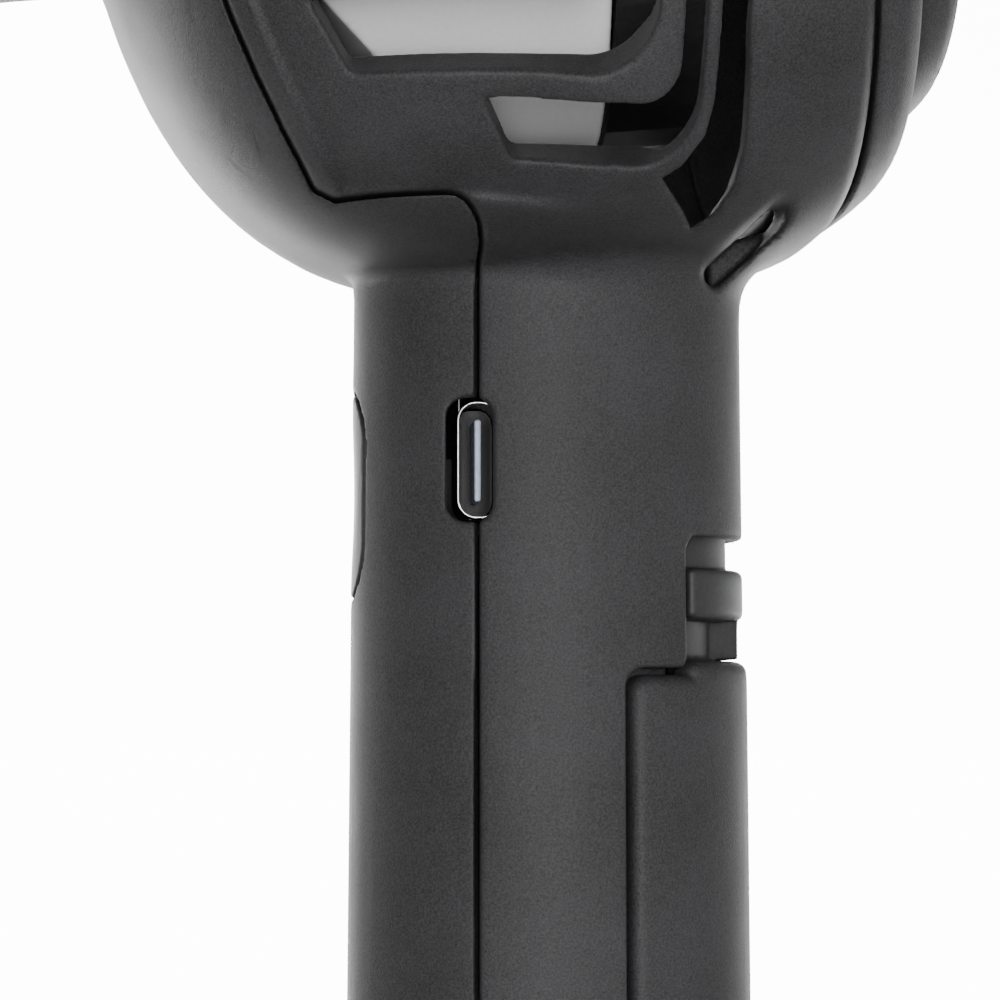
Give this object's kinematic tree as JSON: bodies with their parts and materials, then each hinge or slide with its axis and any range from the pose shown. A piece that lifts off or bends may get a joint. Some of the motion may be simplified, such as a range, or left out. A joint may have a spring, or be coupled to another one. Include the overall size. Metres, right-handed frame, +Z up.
{
  "type": "handheld leaf blower",
  "caption": "Cordless one-hand blower: round grip with charging port and latched battery cover under a rounded fan head with louvred sides, ribbed rear intake and short nozzle.",
  "frame": {"origin": "on the floor under the handle's axis", "axes": "+Z up along the handle, +X forward out of the nozzle, +Y to the blower's left, the side with the charging port"},
  "size_m": [0.1444, 0.088, 0.206],
  "materials": {
    "black_plastic": "fine-grained moulded, dark charcoal",
    "dark_plastic": "smooth satin black",
    "grey_plastic": "satin light grey",
    "fan_plastic": "semi-gloss black",
    "rubber": "matte black",
    "steel": "plain bright",
    "spring_steel": "drawn wire",
    "nickel": "nickel plate",
    "brass": "turned",
    "board_green": "solder mask",
    "tongue_grey": "moulded",
    "cell_wrap": "shrink wrap over a metal can",
    "lead_red": "insulated wire",
    "lead_black": "insulated wire",
    "screw_black": "blackened"
  },
  "bodies": {
    "housing": {"front_shell": "black_plastic", "rear_shell": "black_plastic", "base_plate": "black_plastic", "motor_mount": "dark_plastic", "intake_guard": "dark_plastic", "battery_cradle": "dark_plastic", "power_switch": "dark_plastic", "motor_driver": "dark_plastic", "fan_duct": "grey_plastic", "foot_pad": "rubber", "motor_can": "steel", "hinge_pin": "steel", "port_socket": "steel", "port_tongue": "tongue_grey", "contact_spring": "spring_steel", "cell_terminal": "nickel", "contact_plate_top": "nickel", "contact_plate_base": "nickel", "control_board": "board_green", "battery_cell": "cell_wrap", "lead_positive": "lead_red", "lead_negative": "lead_black", "head_screw_1": "screw_black", "head_screw_2": "screw_black", "handle_screw_1": "screw_black"},
    "impeller": {"impeller": "fan_plastic", "impeller_nut": "brass", "motor_shaft": "steel"},
    "nozzle_seal": {"nozzle_seal": "rubber"},
    "nozzle": {"nozzle": "black_plastic", "nozzle_bumper": "rubber"},
    "intake_cap": {"intake_cap": "black_plastic"},
    "latch": {"latch_slide": "dark_plastic", "latch_spring": "spring_steel"},
    "battery_cover": {"battery_cover": "black_plastic"},
    "power_button": {"power_button": "dark_plastic"}
  },
  "joints": [
    {"name": "impeller_spin", "type": "hinge", "parent": "housing", "child": "impeller", "pos_m": [0, 0, 0.158], "axis": [0.9962, 0, -0.0872], "continuous": true},
    {"name": "nozzle_turn", "type": "hinge", "parent": "housing", "child": "nozzle_seal", "pos_m": [0, 0, 0.158], "axis": [0.9962, 0, -0.0872], "range_deg": [0, 30]},
    {"name": "nozzle_pull", "type": "slide", "parent": "nozzle_seal", "child": "nozzle", "axis": [0.9962, 0, -0.0872], "range_m": [0, 0.014]},
    {"name": "intake_cap_pull", "type": "slide", "parent": "housing", "child": "intake_cap", "axis": [-0.9962, 0, 0.0872], "range_m": [0, 0.012]},
    {"name": "latch_lift", "type": "slide", "parent": "housing", "child": "latch", "axis": [0, 0, 1], "range_m": [0, 0.0022], "stiffness_N_per_m": 150, "springref_m": -0.001, "deforming": ["latch_spring"]},
    {"name": "battery_cover_open", "type": "hinge", "parent": "housing", "child": "battery_cover", "pos_m": [-0.0147, 0, 0.0202], "axis": [0, -1, 0], "range_deg": [0, 60]},
    {"name": "power_button_press", "type": "slide", "parent": "housing", "child": "power_button", "axis": [-1, 0, 0], "range_m": [0, 0.0012], "stiffness_N_per_m": 400, "springref_m": -0.0005}
  ]
}
